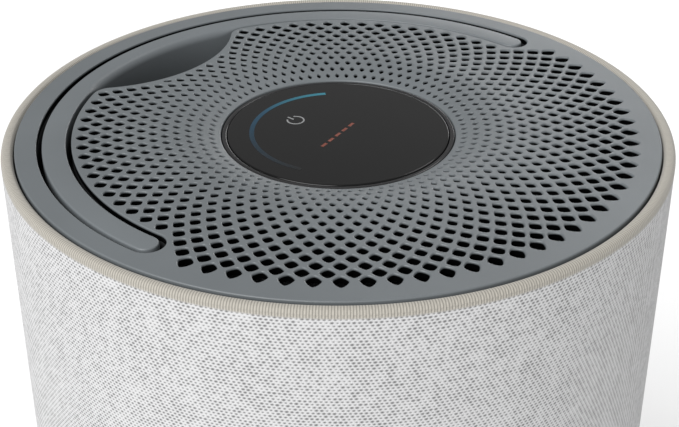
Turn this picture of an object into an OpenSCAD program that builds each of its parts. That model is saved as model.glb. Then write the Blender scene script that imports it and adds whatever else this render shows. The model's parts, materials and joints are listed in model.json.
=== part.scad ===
// Cylindrical room air purifier: fabric-wrapped body, perforated top cover with a
// bail handle, touch display, centrifugal fan and a twist-off filter cover below.
// Millimetres; the origin is on the floor at the middle, +Z is up, +Y is the back,
// where the handle's grip lies, and the handle's pivots are on the X axis.

/* [Overall] */
// Height from the floor to the top cover's surface
body_height = 540; // [530:5:600]
// Outer radius of the top cover
cover_radius = 150; // [149:0.5:151]
// Thickness of the outer shell
shell_wall = 3; // [2.5:0.5:3.5]
// Thickness of the stretched fabric
fabric_wall = 2; // [1.5:0.25:2.5]

/* [Top cover] */
// Thickness of the cover plate
cover_plate = 3.5; // [3:0.5:4]
// Rings of air holes that run all the way round
full_rings = 12; // [8:1:12]
// Air holes in each ring
holes_per_ring = 80; // [60:1:80]
// Width of a hole in the innermost ring
first_hole_width = 2.1; // [1.6:0.1:2.4]
// Length of a hole in the innermost ring
first_hole_length = 3.1; // [2.4:0.1:3.4]

/* [Handle] */
// Width of the handle's bar
handle_width = 11; // [9:0.5:12]
// Height of the handle's bar
handle_tall = 14; // [12:0.5:14]
// Gap between the handle and its groove
handle_gap = 2.4; // [2:0.1:2.4]
// Radius of each pivot pin
pin_radius = 2.5; // [2:0.25:2.5]

/* [Display] */
// Radius of the glass
lens_radius = 52.4; // [50:0.2:52.4]
// Start angle of the light arc
arc_from = 46; // [30:1:60]
// Length of the light arc in degrees
arc_sweep = 144; // [90:1:170]

/* [Fan and filter] */
// Blades on the impeller
blade_count = 9; // [7:1:11]
// Pleats in the filter paper
pleat_count = 72; // [48:1:84]
// Guide vanes around the motor
vane_count = 8; // [6:1:10]
// How far the filter cover's lugs turn to come free
twist_angle = 25; // [22:1:28]

/* [Hidden] */

$fn = 96;
cover_grey = [0.46, 0.48, 0.49];
inner_grey = [0.30, 0.31, 0.32];
dark_plastic = [0.12, 0.12, 0.13];
fabric_white = [0.84, 0.84, 0.83];
steel_grey = [0.66, 0.67, 0.68];
board_green = [0.07, 0.25, 0.14];
e = 1;

// Heights of the top group, measured down from the cover's surface
top_z = body_height;
plate_under = top_z - cover_plate;
skirt_bottom = top_z - 24;
rib_bottom = top_z - 10.5;
tray_bottom = top_z - 40;
flange_top = tray_bottom + 14;
handle_top = top_z - 0.3;
handle_bottom = handle_top - handle_tall;
pivot_z = handle_top - 6;
trough_floor = top_z - 22;
pocket_floor = top_z - 38;
grip_bottom = top_z - 20.8;
grip_sweep = 46;
tray_wall = 1.8;

// Plan sizes of the top group
shell_in = cover_radius + 1;
shell_out = shell_in + shell_wall;
fabric_in = shell_out + 0.2;
fabric_out = fabric_in + fabric_wall;
handle_mid = 0.8815 * cover_radius;
bar_end_y = -0.0575 * cover_radius;
overrun = asin(-bar_end_y / handle_mid);
pivot_inset = 3.1;
pivot_y = bar_end_y + pivot_inset;
pivot_x = sqrt(pow(handle_mid, 2) - pow(pivot_y, 2));
half_bar = handle_width / 2;
end_slack = 0.35;
end_round = 1.06;
slot_half = half_bar + handle_gap;
scoop_radius = 0.459 * cover_radius;
scoop_centre = 1.099 * cover_radius;
shoulder_radius = 9;
tray_ring_in = handle_mid + slot_half + tray_wall;
tray_ring_out = cover_radius - 3.4;
pin_clearance = 0.05;
rib_in = tray_ring_in + 0.5;
rib_out = tray_ring_out - 0.2;

// Air holes: alternate rings are staggered by half a pitch, and the last few rings
// stand only at the front, clear of the handle's groove
hole_pitch = 360 / holes_per_ring;
ring_first = 0.3975 * cover_radius;
ring_step = 0.0361 * cover_radius;
dish_rings = 5;
last_ring = full_rings + 3;
hole_width_step = 0.315;
hole_length_step = 0.27;
scoop_border = 3.6;
front_reach = 76.6;
function ring_radius(k) = ring_first + ring_step * (k - 1);
function hole_width(k) = first_hole_width + hole_width_step * (k - 1);
function hole_length(k) = first_hole_length + hole_length_step * (k - 1);
function stagger(k) = k % 2 == 0 ? hole_pitch / 2 : 0;
function off_scoop(r, a) = norm([r * cos(a), r * sin(a) - scoop_centre]) > scoop_radius + scoop_border;
function at_front(k, a) = abs(a - 270) < front_reach + (last_ring - k) * hole_pitch / 2;
function has_hole(k, a) = k <= full_rings ? off_scoop(ring_radius(k), a) : at_front(k, a);

// Dished middle of the cover, which falls to the display
dish_radius = ring_radius(dish_rings) + 2.65;
dish_depth = 4.5;
collar_in = 55.4;
collar_out = 58;
collar_bottom = top_z - 14;
dish_run = dish_radius - collar_in;
plate_in = dish_radius;
strip_in = dish_radius + 0.3;
strip_out = rib_in - 1.5;
function dish_z(r) = top_z - dish_depth * pow((dish_radius - r) / dish_run, 2);
function between(k) = ring_radius(k) + ring_step / 2;

// Screw circles of the top group
cover_screw_circle = 144.4;
cover_screw_radius = 1.25;
cover_screw_count = 6;
cover_screw_first = 20;
side_screw_first = 30;
tray_screw_z = tray_bottom + 8.5;
display_screw_circle = 59.5;
display_screw_count = 3;
pilot_radius = 1.5;

// Display stack
lens_top = top_z - dish_depth;
lens_thick = 2.2;
lens_under = lens_top - lens_thick;
bezel_radius = 55.2;
arc_radius = 0.27 * cover_radius;
arc_width = 3;
cup_bottom = top_z - 32;
cup_top = top_z - 9.2;
cup_radius = 54.8;
cup_wall = 2.5;
board_z = top_z - 20;
board_radius = 50;
led_top = board_z + 3;

// Lower group, measured up from the floor
foot_height = 5;
foot_circle = 137;
foot_radius = 9;
base_plate = 3;
base_radius = 148;
base_wall = 3;
seat_z = 26;
shell_bottom = 29;
spigot_top = 38;
opening_radius = 126;
base_screw_z = 33.5;
ledge_in = 120.3;
ledge_low = 9;
ledge_high = 11.4;
lug_low = 11.9;
lug_high = 15;
lug_count = 3;
ledge_spare = 2;
lug_arc = 16;
lug_first = 60;
ring_radius_out = 119.5;

// Filter
filter_bottom = 22;
filter_top = 298;
filter_radius = 116;
cap_thick = 4;
media_out = 114;
media_in = 88;
paper_shift = 6;
core_out = 81;
core_in = 74;

// Deck, bell and duct
deck_z = 303;
deck_thick = 3;
deck_top = deck_z + deck_thick;
deck_radius = shell_in - 0.4;
deck_hole = 84;
ledge_width = 8;
bell_round = 20;
bell_centre = 83;
duct_in = 128;
duct_out = 131;
duct_flange = 140;
duct_top = tray_bottom - 2;
deck_screw_circle = 147;
duct_screw_circle = 135.5;

// Fan and motor
impeller_low = deck_top + 14;
impeller_high = impeller_low + 50;
impeller_radius = 94;
eye_radius = 67;
hub_radius = 9;
shaft_radius = 3;
shaft_clearance = 0.05;
nut_low = impeller_high - 23;
motor_low = impeller_high + 14;
motor_high = motor_low + 35;
motor_radius = 42;
cup_in = 47;
cup_out = 50;
vane_thick = 2.5;
vane_low = motor_low - 4;
vane_high = vane_low + 50;
spider_ring_in = 124.6;
spider_ring_out = 127.8;
spider_screw_z = motor_low + 10;
mount_circle = 30;
mount_plate = motor_high + 4;

// Back of the body, where the mains comes in
inlet_z = 17;
inlet_wide = 22;
inlet_tall = 16;
inlet_front = 148;
inlet_back = 131;
pin_spacing = 4.3;
harness_x = 6;
harness_y = 138.3;
harness_radius = 2.4;
mother_y = 143.4;
mother_thick = 1.6;
mother_half = 34;
mother_low = 325;
mother_high = 415;
post_x = 28;
post_lower = 335;
post_upper = 405;
sensor_angle = 200;

// A circular row of the children
module around(count, first = 0) {
  for (i = [0:count - 1]) rotate([0, 0, first + i * 360 / count]) children();
}

// A flat ring, standing from z0 to z1
module ring(r_in, r_out, z0, z1) {
  translate([0, 0, z0]) linear_extrude(z1 - z0) difference() {
    circle(r_out, $fn = 180);
    circle(r_in, $fn = 180);
  }
}

// A disc, standing from z0 to z1
module disc(r, z0, z1) {
  translate([0, 0, z0]) cylinder(r = r, h = z1 - z0);
}

// A ring section between two radii and two heights, for turned parts
module section(r_in, r_out, z0, z1) {
  translate([r_in, z0]) square([r_out - r_in, z1 - z0]);
}

// Pan-head screw pointing down from the underside of its head
module screw_down(z_head, shank, length, head) {
  translate([0, 0, z_head]) cylinder(r = head, h = 2.4, $fn = 32);
  translate([0, 0, z_head - length]) cylinder(r = shank, h = length, $fn = 32);
}

// Pan-head screw pointing up from the top of its head
module screw_up(z_head, shank, length, head) {
  translate([0, 0, z_head - 2.4]) cylinder(r = head, h = 2.4, $fn = 32);
  translate([0, 0, z_head]) cylinder(r = shank, h = length, $fn = 32);
}

// Countersunk screw along +X, flush with the shell's outer face
module side_screw(shank, head) {
  rotate([0, 90, 0]) {
    translate([0, 0, shell_out - 1.8]) cylinder(r1 = shank, r2 = head, h = 1.7, $fn = 32);
    translate([0, 0, shell_out - 8.4]) cylinder(r = shank, h = 6.7, $fn = 32);
  }
}

// Rather more than a half ring round the handle's middle line, with rounded ends
// that stand past the given angle
module bow_plan(half, past) {
  far = 3 * cover_radius;
  intersection() {
    difference() {
      circle(handle_mid + half, $fn = 180);
      circle(handle_mid - half, $fn = 180);
    }
    union() {
      polygon([[0, 0], [far * cos(past), -far * sin(past)], [far, far], [-far, far], [-far * cos(past),
        -far * sin(past)]]);
      for (a = [-past, 180 + past]) rotate([0, 0, a]) translate([handle_mid, 0]) circle(end_round * half,
        $fn = 48);
    }
  }
}

// Plan of the handle's groove, whose ends leave the swinging bar a little more room
// than its sides
module groove_plan(half) {
  bow_plan(half, overrun + end_slack);
}

// Plan of the finger scoop, out to a limiting radius
module scoop_plan(grow, limit) {
  intersection() {
    translate([0, scoop_centre]) circle(scoop_radius + grow, $fn = 180);
    circle(limit, $fn = 180);
  }
}

// Shoulder where the scoop's wall meets the groove's inner wall: the sharp corner
// between them, cut off where a circle would touch both
module shoulder_plan(grow, side) {
  wall = handle_mid - slot_half - grow;
  near = shoulder_radius - grow;
  bowl = scoop_radius + grow;
  centre_r = wall - near;
  centre_y = (pow(centre_r, 2) - pow(bowl + near, 2) + pow(scoop_centre, 2)) / (2 * scoop_centre);
  corner_y = (pow(wall, 2) - pow(bowl, 2) + pow(scoop_centre, 2)) / (2 * scoop_centre);
  centre = [side * sqrt(pow(centre_r, 2) - pow(centre_y, 2)), centre_y];
  corner = [side * sqrt(pow(wall, 2) - pow(corner_y, 2)), corner_y];
  on_wall = centre * wall / centre_r;
  on_bowl = [0, scoop_centre] + (centre - [0, scoop_centre]) * bowl / (bowl + near);
  spare = (on_wall - on_bowl) * 0.1;
  polygon([on_wall + spare, corner * 1.01, on_bowl - spare]);
}

// A point at a radius and angle, moved sideways
function polar(r, a, side) = [r * cos(a) - side * sin(a), r * sin(a) + side * cos(a)];

// One edge of a strip of the grille, from the dish outwards, with a half diamond cut
// into it wherever an air hole lies on this angle
function strip_edge(j, side) = let (a = j * hole_pitch / 2) concat(
  [polar(strip_in, a, 0)],
  [for (k = [dish_rings + 1:last_ring]) if ((k + j) % 2 == 1 && has_hole(k, a))
    each [polar(ring_radius(k) - hole_length(k) / 2, a, 0),
      polar(ring_radius(k), a, side * hole_width(k) / 2),
      polar(ring_radius(k) + hole_length(k) / 2, a, 0)]],
  [polar(strip_out, a, 0)]);
function reversed(list) = [for (i = [len(list) - 1:-1:0]) list[i]];

// The flat field: strips half a pitch wide, whose notched edges meet as whole diamonds
module grille_plan() {
  for (j = [0:2 * holes_per_ring - 1])
    polygon(concat(strip_edge(j, 1), reversed(strip_edge(j + 1, -1))));
  difference() {
    circle(strip_in + 0.1, $fn = 180);
    circle(plate_in, $fn = 180);
  }
  difference() {
    circle(rib_in, $fn = 180);
    circle(strip_out - 0.1, $fn = 180);
  }
}

module grille_plate() {
  translate([0, 0, plate_under]) linear_extrude(cover_plate) difference() {
    grille_plan();
    groove_plan(slot_half);
    scoop_plan(0, handle_mid);
    for (side = [-1, 1]) shoulder_plan(0, side);
  }
}

// Dished middle, down to the collar round the display
module dish_section() {
  stations = [collar_in, between(1), between(2), between(3), between(4), dish_radius];
  polygon(concat([for (r = stations) [r, dish_z(r)]],
    [for (r = reversed(stations)) if (r > collar_out) [r, dish_z(r) - cover_plate]],
    [[collar_out, dish_z(collar_out) - cover_plate], [collar_out, collar_bottom], [collar_in,
      collar_bottom]]));
}

// The small holes of the dish are cut square to the rings
module dish_holes(k) {
  half = hole_length(k) * 0.41;
  sweep = hole_width(k) * 0.86 / ring_radius(k) * 180 / PI;
  for (i = [0:holes_per_ring - 1]) rotate([0, 0, i * hole_pitch + stagger(k) - sweep / 2])
    rotate_extrude(angle = sweep) section(ring_radius(k) - half, ring_radius(k) + half, collar_bottom,
      top_z + e);
}

module cover_dish() {
  difference() {
    union() {
      rotate_extrude($fn = 180) dish_section();
      around(display_screw_count, 90) translate([display_screw_circle, 0, 0])
        disc(3.2, collar_bottom, lens_top - 1);
    }
    around(display_screw_count, 90) translate([display_screw_circle, 0, 0])
      disc(pilot_radius, collar_bottom - e, collar_bottom + 4);
    dish_holes(1);
    dish_holes(2);
    dish_holes(3);
    dish_holes(4);
    dish_holes(5);
  }
}

// Border, skirt and the rib that takes the screws
module rim_section() {
  polygon([[rib_in, top_z], [cover_radius - 1.2, top_z], [cover_radius, top_z - 1.2],
    [cover_radius, skirt_bottom], [cover_radius - 3, skirt_bottom],
    [cover_radius - 3, plate_under - 1], [rib_out, plate_under - 1],
    [rib_out, rib_bottom], [rib_in, rib_bottom]]);
}

module cover_rim() {
  difference() {
    rotate_extrude($fn = 180) rim_section();
    around(cover_screw_count, cover_screw_first) translate([cover_screw_circle, 0, 0])
      disc(cover_screw_radius, rib_bottom - e, rib_bottom + 6);
  }
}

module top_cover() {
  color(cover_grey) {
    cover_dish();
    grille_plate();
    cover_rim();
  }
}

module top_cover_screws() {
  color(steel_grey) around(cover_screw_count, cover_screw_first)
    translate([cover_screw_circle, 0, 0]) screw_up(tray_bottom, cover_screw_radius, 34.5, 2.4);
}

// Plan of the handle's bar, with its round ends over the pivots
module bar_plan() {
  bow_plan(half_bar, overrun);
}

// Everything in plan but the wedge that holds the deeper grip
module beside_grip() {
  far = 2 * cover_radius;
  difference() {
    square(3 * cover_radius, center = true);
    polygon([[0, 0], for (side = [-1, 1]) far * [cos(90 + side * grip_sweep / 2),
      sin(90 + side * grip_sweep / 2)]]);
  }
}

module handle() {
  color(cover_grey) difference() {
    translate([0, 0, grip_bottom]) linear_extrude(handle_top - grip_bottom) bar_plan();
    translate([0, 0, grip_bottom - e]) linear_extrude(handle_bottom - grip_bottom + e) beside_grip();
    for (side = [-1, 1]) translate([side * pivot_x, pivot_y, pivot_z]) rotate([0, 90, 0])
      cylinder(r = pin_radius + pin_clearance, h = handle_width + 2, center = true, $fn = 48);
  }
}

module handle_pivot_pins() {
  reach = slot_half + tray_wall;
  color(steel_grey) for (side = [-1, 1]) translate([side * pivot_x, pivot_y, pivot_z]) rotate([0,
    side * 90, 0])
    translate([0, 0, -reach - 0.2]) cylinder(r = pin_radius, h = 2 * reach, $fn = 48);
}

module handle_tray() {
  color(inner_grey) difference() {
    union() {
      ring(tray_ring_in, tray_ring_out, tray_bottom, rib_bottom);
      ring(tray_ring_in, deck_radius, tray_bottom, flange_top);
      ring(duct_out + 1, deck_radius, tray_bottom, tray_bottom + 3);
      translate([0, 0, trough_floor - tray_wall]) linear_extrude(plate_under - trough_floor + tray_wall)
        groove_plan(slot_half + tray_wall);
      translate([0, 0, pocket_floor - tray_wall]) linear_extrude(plate_under - pocket_floor + tray_wall) {
        scoop_plan(tray_wall, tray_ring_in);
        for (side = [-1, 1]) shoulder_plan(tray_wall, side);
      }
    }
    translate([0, 0, trough_floor]) linear_extrude(40) groove_plan(slot_half);
    translate([0, 0, pocket_floor]) linear_extrude(40) {
      scoop_plan(0, handle_mid + slot_half);
      for (side = [-1, 1]) shoulder_plan(0, side);
    }
    for (side = [-1, 1]) translate([side * pivot_x, pivot_y, pivot_z]) rotate([0, 90, 0])
      cylinder(r = pin_radius, h = 24, center = true, $fn = 48);
    around(cover_screw_count, cover_screw_first) translate([cover_screw_circle, 0, 0])
      disc(cover_screw_radius + 0.15, tray_bottom - e, top_z);
    around(6, side_screw_first) translate([0, 0, tray_screw_z]) rotate([0, 90, 0])
      translate([0, 0, shell_out - 8.4]) cylinder(r = 2, h = 10, $fn = 32);
  }
}

module display_lens() {
  color([0.03, 0.03, 0.035]) translate([0, 0, lens_under]) {
    cylinder(r = lens_radius, h = lens_thick - 0.6, $fn = 180);
    translate([0, 0, lens_thick - 0.6]) cylinder(r1 = lens_radius, r2 = lens_radius - 0.6, h = 0.6,
      $fn = 180);
  }
}

module display_bezel() {
  color(dark_plastic) rotate_extrude($fn = 180) {
    section(lens_radius + 0.15, bezel_radius, cup_top + 0.2, lens_top - 0.2);
    section(lens_radius - 3, bezel_radius, cup_top + 0.2, lens_under - 0.1);
  }
}

module light_guide() {
  color([0.75, 0.9, 0.95]) rotate([0, 0, arc_from]) rotate_extrude(angle = arc_sweep, $fn = 180)
    section(arc_radius - arc_width / 2, arc_radius + arc_width / 2, led_top + 0.3, lens_under - 0.1);
}

module display_leds() {
  color([0.9, 0.9, 0.75]) {
    for (i = [0:8]) rotate([0, 0, arc_from + 6 + i * (arc_sweep - 12) / 8])
      translate([arc_radius - 1.4, -1.4, board_z + 1.6]) cube([2.8, 2.8, 1.4]);
    for (y = [-4, 24]) translate([-1.4, y - 1.4, board_z + 1.6]) cube([2.8, 2.8, 1.4]);
  }
}

module display_board() {
  color(board_green) ring(3, board_radius, board_z, board_z + 1.6);
}

module display_cup() {
  color(dark_plastic) difference() {
    union() {
      disc(cup_radius, cup_bottom, cup_top);
      ring(cup_radius - 1, collar_out + 4.6, collar_bottom - 3, collar_bottom - 0.1);
    }
    difference() {
      disc(cup_radius - cup_wall, cup_bottom + cup_wall, cup_top + e);
      around(3, 30) translate([board_radius - 12, 0, 0]) disc(3.5, cup_bottom, board_z);
      around(3, 30) translate([board_radius + 1, 0, 0]) disc(3.5, cup_bottom, board_z);
    }
    around(display_screw_count, 90) translate([display_screw_circle, 0, 0])
      disc(pilot_radius + 0.1, cup_bottom, collar_bottom + e);
  }
}

module display_screws() {
  color(steel_grey) around(display_screw_count, 90) translate([display_screw_circle, 0, 0])
    screw_up(collar_bottom - 3, pilot_radius, 6.5, 2.8);
}

module outer_shell() {
  slot_count = 60;
  slot_wide = 6;
  slot_rows = [[56, 96], [166, 96]];
  color(inner_grey) difference() {
    rotate_extrude($fn = 180) {
      section(shell_in, shell_out, shell_bottom, top_z - 7.5);
      section(shell_in - ledge_width, shell_in + e, deck_z - 10, deck_z);
    }
    for (row = slot_rows) around(slot_count) translate([shell_in - e, -slot_wide / 2, row[0]])
      cube([shell_wall + 3, slot_wide, row[1]]);
    around(6, 0) translate([deck_screw_circle, 0, 0]) disc(pilot_radius, deck_z - 9, deck_z + e);
    for (turn = [0:5]) rotate([0, 0, side_screw_first + turn * 60]) translate([0, 0, tray_screw_z])
      side_screw_hole();
    for (turn = [0:5]) rotate([0, 0, side_screw_first + turn * 60]) translate([0, 0, base_screw_z])
      side_screw_hole();
  }
}

// Countersunk hole for a side screw
module side_screw_hole() {
  rotate([0, 90, 0]) {
    translate([0, 0, shell_out - 1.8]) cylinder(r1 = 2, r2 = 4, h = 2, $fn = 32);
    translate([0, 0, shell_in - 10]) cylinder(r = 2, h = 13, $fn = 32);
  }
}

module shell_screws() {
  color(steel_grey) for (z = [tray_screw_z, base_screw_z]) around(6, side_screw_first)
    translate([0, 0, z]) side_screw(1.95, 3.4);
}

module fabric_sleeve() {
  roll_in = cover_radius + 1.3;
  roll_half = (fabric_out - roll_in) / 2;
  roll_z = top_z - 1.8 - roll_half;
  hem_in = base_radius + 2;
  hem_half = 1.1;
  hem_z = seat_z - 0.2 - hem_half;
  color(fabric_white) rotate_extrude($fn = 180) {
    section(fabric_in, fabric_out, hem_z, roll_z);
    translate([roll_in + roll_half, roll_z]) circle(roll_half, $fn = 48);
    section(roll_in, fabric_out, roll_z - 2.6, roll_z);
    section(hem_in + hem_half, fabric_out - hem_half, hem_z - hem_half, hem_z + hem_half);
    translate([hem_in + hem_half, hem_z]) circle(hem_half, $fn = 32);
    translate([fabric_out - hem_half, hem_z]) circle(hem_half, $fn = 32);
  }
}

module fan_duct() {
  color(inner_grey) difference() {
    union() {
      ring(duct_in, duct_out, deck_top, duct_top);
      ring(duct_in, duct_flange, deck_top, deck_top + 3);
      ring(duct_in, duct_flange, duct_top - 3, duct_top);
      for (x = [-post_x, post_x]) for (z = [post_lower, post_upper])
        translate([x, mother_y, z]) rotate([90, 0, 0]) cylinder(r = 3.5, h = 18, $fn = 32);
      rotate([0, 0, sensor_angle]) translate([duct_out - 2, -14, 332]) cube([5, 28, 20]);
    }
    disc(duct_in, deck_top - e, duct_top + e);
    around(6, 30) translate([duct_screw_circle, 0, 0]) disc(pilot_radius + 0.1, deck_z, deck_top + 4);
    around(4, 45) translate([0, 0, spider_screw_z]) rotate([0, 90, 0])
      translate([0, 0, duct_in - 1]) cylinder(r = 2.1, h = 6, $fn = 32);
    for (x = [-post_x, post_x]) for (z = [post_lower, post_upper])
      translate([x, mother_y + e, z]) rotate([90, 0, 0]) cylinder(r = pilot_radius, h = 10, $fn = 32);
    translate([harness_x, harness_y, deck_z]) cylinder(r = 3.2, h = 10, $fn = 32);
  }
}

module duct_seal() {
  color(dark_plastic) ring(duct_out + 2, duct_flange - 1, duct_top, tray_bottom);
}

module motor_spider() {
  color(inner_grey) difference() {
    union() {
      ring(cup_in, cup_out, vane_low, mount_plate + 3);
      disc(cup_out, mount_plate, mount_plate + 3);
      ring(spider_ring_in, spider_ring_out, vane_low, vane_high);
      around(vane_count) translate([cup_out - 1, -vane_thick / 2, vane_low])
        cube([spider_ring_in - cup_out + 2, vane_thick, vane_high - vane_low]);
      around(4, 45) translate([spider_ring_in - 3.6, -5, spider_screw_z - 5]) cube([4.6, 10, 10]);
    }
    around(4) translate([mount_circle, 0, 0]) disc(2.1, mount_plate - e, mount_plate + 4);
    around(4, 45) translate([0, 0, spider_screw_z]) rotate([0, 90, 0])
      translate([0, 0, spider_ring_in - 5]) cylinder(r = 1.9, h = 10, $fn = 32);
  }
}

module spider_screws() {
  color(steel_grey) around(4, 45) translate([0, 0, spider_screw_z]) rotate([0, 90, 0]) {
    translate([0, 0, duct_out]) cylinder(r = 3.6, h = 2.4, $fn = 32);
    translate([0, 0, spider_ring_in - 3]) cylinder(r = 1.9, h = duct_out - spider_ring_in + 3, $fn = 32);
  }
}

module motor_can() {
  color(steel_grey) difference() {
    disc(motor_radius, motor_low, motor_high - 3);
    difference() {
      disc(motor_radius - 3, motor_low + 3, motor_high);
      disc(10.5, motor_low, motor_low + 8);
    }
    disc(8, motor_low + 3, motor_low + 9);
    disc(5, motor_low - e, motor_low + 4);
  }
}

module motor_end_bell() {
  color(steel_grey) difference() {
    union() {
      disc(motor_radius, motor_high - 3, motor_high);
      disc(10.5, motor_high - 9, motor_high - 3);
    }
    disc(8, motor_high - 9 - e, motor_high - 4);
    around(4) translate([mount_circle, 0, 0]) disc(1.95, motor_high - 5, motor_high + e);
  }
}

// Laminated stack with nine wound teeth
module stator_plan() {
  difference() {
    circle(motor_radius - 3.1);
    circle(18.4);
    slot_plan(0);
  }
}

// Winding slots of the stator, drawn in by a clearance
module slot_plan(shrink) {
  difference() {
    circle(33 - shrink);
    circle(20.5 + shrink);
    around(9) translate([15, -3.5 - shrink]) square([25, 7 + 2 * shrink]);
  }
}

module motor_stator() {
  color([0.42, 0.42, 0.44]) translate([0, 0, motor_low + 11]) linear_extrude(12) stator_plan();
}

module motor_windings() {
  color([0.72, 0.40, 0.20]) translate([0, 0, motor_low + 9]) linear_extrude(16) slot_plan(0.2);
}

module motor_rotor() {
  color([0.25, 0.25, 0.27]) ring(shaft_radius, 17.6, motor_low + 10, motor_low + 24);
}

module motor_shaft() {
  color(steel_grey) disc(shaft_radius, nut_low - 4, motor_high - 4.5);
}

module motor_bearings() {
  color(steel_grey) {
    ring(shaft_radius + shaft_clearance, 8, motor_low + 3, motor_low + 8);
    ring(shaft_radius + shaft_clearance, 8, motor_high - 9, motor_high - 4);
  }
}

module motor_grommets() {
  color(dark_plastic) around(4) translate([mount_circle, 0, 0]) ring(2, 6.5, motor_high, mount_plate);
}

module motor_screws() {
  color(steel_grey) around(4) translate([mount_circle, 0, 0])
    screw_down(mount_plate + 3, 1.9, 11, 3.6);
}

// One backward-curved blade, seen from above
module blade_plan() {
  intersection() {
    difference() {
      circle(impeller_radius - 2);
      circle(42);
    }
    translate([0.5, -56.4]) difference() {
      circle(71);
      circle(69);
    }
    translate([25, -85]) square([75, 95]);
  }
}

module fan_impeller() {
  color(cover_grey) difference() {
    union() {
      rotate_extrude($fn = 120) {
        section(0, impeller_radius, impeller_high - 3, impeller_high);
        section(0, hub_radius, nut_low + 6, impeller_high + 8);
      }
      rotate_extrude($fn = 120)
        polygon([[eye_radius, impeller_low], [eye_radius + 2.4, impeller_low], [impeller_radius,
          impeller_low + 12],
          [impeller_radius, impeller_low + 14.4], [eye_radius, impeller_low + 2.6]]);
      intersection() {
        translate([0, 0, impeller_low]) linear_extrude(impeller_high - impeller_low - 1)
          around(blade_count) blade_plan();
        rotate_extrude($fn = 120)
          polygon([[41, impeller_low + 11], [eye_radius + 0.5, impeller_low + 11], [eye_radius + 0.5,
            impeller_low + 1],
            [impeller_radius, impeller_low + 13], [impeller_radius, impeller_high], [41, impeller_high]]);
      }
    }
    disc(shaft_radius, nut_low, impeller_high + 9);
  }
}

module impeller_nut() {
  color(steel_grey) difference() {
    translate([0, 0, nut_low + 0.5]) cylinder(r = 6, h = 5.5, $fn = 6);
    disc(shaft_radius, nut_low, nut_low + 7);
  }
}

module inlet_bell() {
  color(inner_grey) difference() {
    rotate_extrude($fn = 180) {
      intersection() {
        translate([bell_centre, deck_top + bell_round]) difference() {
          circle(bell_round, $fn = 96);
          circle(bell_round - 2, $fn = 96);
        }
        translate([bell_centre - bell_round, deck_top]) square([bell_round, bell_round]);
      }
      section(bell_centre, 98, deck_top, deck_top + 2);
    }
    around(4, 45) translate([93, 0, 0]) disc(pilot_radius + 0.1, deck_top - e, deck_top + 3);
  }
}

module inlet_guard() {
  color(dark_plastic) {
    for (r = [16, 32, 48, 64]) ring(r, r + 2, deck_z - 3, deck_z);
    ring(80, deck_hole + 4, deck_z - 3, deck_z);
    difference() {
      around(3) translate([-82, -1.2, deck_z - 3]) cube([164, 2.4, 3]);
      disc(5, deck_z - 4, deck_z + e);
    }
    disc(5, deck_z - 3, deck_z);
  }
}

module filter_deck() {
  color(inner_grey) difference() {
    union() {
      ring(deck_hole, deck_radius, deck_z, deck_top);
      around(6, 30) translate([duct_screw_circle, 0, 0]) disc(4, deck_z - 7, deck_top);
      around(4, 45) translate([93, 0, 0]) disc(3.5, deck_z - 2.6, deck_top);
    }
    around(6, 30) translate([duct_screw_circle, 0, 0]) disc(pilot_radius, deck_z - 8, deck_top + e);
    around(4, 45) translate([93, 0, 0]) disc(pilot_radius, deck_z - 4, deck_top + e);
    around(6) translate([deck_screw_circle, 0, 0]) disc(pilot_radius + 0.1, deck_z - e, deck_top + e);
    translate([harness_x, harness_y, deck_z - e]) cylinder(r = 3.2, h = 10, $fn = 32);
  }
}

module deck_screws() {
  color(steel_grey) {
    around(6) translate([deck_screw_circle, 0, 0]) screw_down(deck_top, pilot_radius, 9, 2.8);
    around(6, 30) translate([duct_screw_circle, 0, 0]) screw_down(deck_top + 3, pilot_radius, 9, 2.8);
    around(4, 45) translate([93, 0, 0]) screw_down(deck_top + 2, pilot_radius, 6, 2.8);
  }
}

module main_board() {
  color(board_green) difference() {
    translate([-mother_half, mother_y, mother_low]) cube([2 * mother_half, mother_thick,
      mother_high - mother_low]);
    for (x = [-post_x, post_x]) for (z = [post_lower, post_upper])
      translate([x, mother_y + 3, z]) rotate([90, 0, 0]) cylinder(r = pilot_radius + 0.1, h = 5, $fn = 32);
  }
}

module board_components() {
  color([0.2, 0.2, 0.22]) {
    translate([-20, mother_y - 9, 370]) cube([20, 9, 22]);
    translate([8, mother_y - 4, 372]) cube([14, 4, 14]);
    translate([-22, mother_y - 7, 342]) cube([14, 7, 8]);
    translate([-2, mother_y - 6, mother_low + 4]) cube([16, 6, 8]);
    for (x = [12, 24]) translate([x - 6, mother_y, 352]) rotate([90, 0, 0]) cylinder(r = 4.5, h = 9,
      $fn = 32);
  }
}

module board_screws() {
  color(steel_grey) for (x = [-post_x, post_x]) for (z = [post_lower, post_upper]) translate([x, 0, z])
    rotate([-90, 0, 0]) {
    translate([0, 0, mother_y + mother_thick]) cylinder(r = 2.8, h = 2.2, $fn = 32);
    translate([0, 0, mother_y - 7]) cylinder(r = pilot_radius, h = 7 + mother_thick, $fn = 32);
  }
}

module wire_harness() {
  plug_z = mother_low + 0.3;
  color([0.1, 0.1, 0.1]) {
    translate([harness_x, harness_y, inlet_z + inlet_tall / 2]) cylinder(r = harness_radius,
      h = plug_z - inlet_z - inlet_tall / 2, $fn = 32);
    translate([harness_x - 5, harness_y - 2.4, plug_z - 4]) cube([10, 4.8, 7.6]);
  }
}

module air_sensor() {
  color(dark_plastic) rotate([0, 0, sensor_angle]) difference() {
    translate([duct_out + 3, -17, 328]) cube([13.5, 34, 28]);
    translate([duct_out + 12, 6, 342]) rotate([0, 90, 0]) cylinder(r = 5, h = 10, $fn = 32);
  }
}

// Zigzag strip of filter paper
function zigzag(outer, inner) = [for (i = [0:2 * pleat_count - 1])
  let (a = i * 180 / pleat_count, r = i % 2 == 0 ? outer : inner) [r * cos(a), r * sin(a)]];

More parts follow.
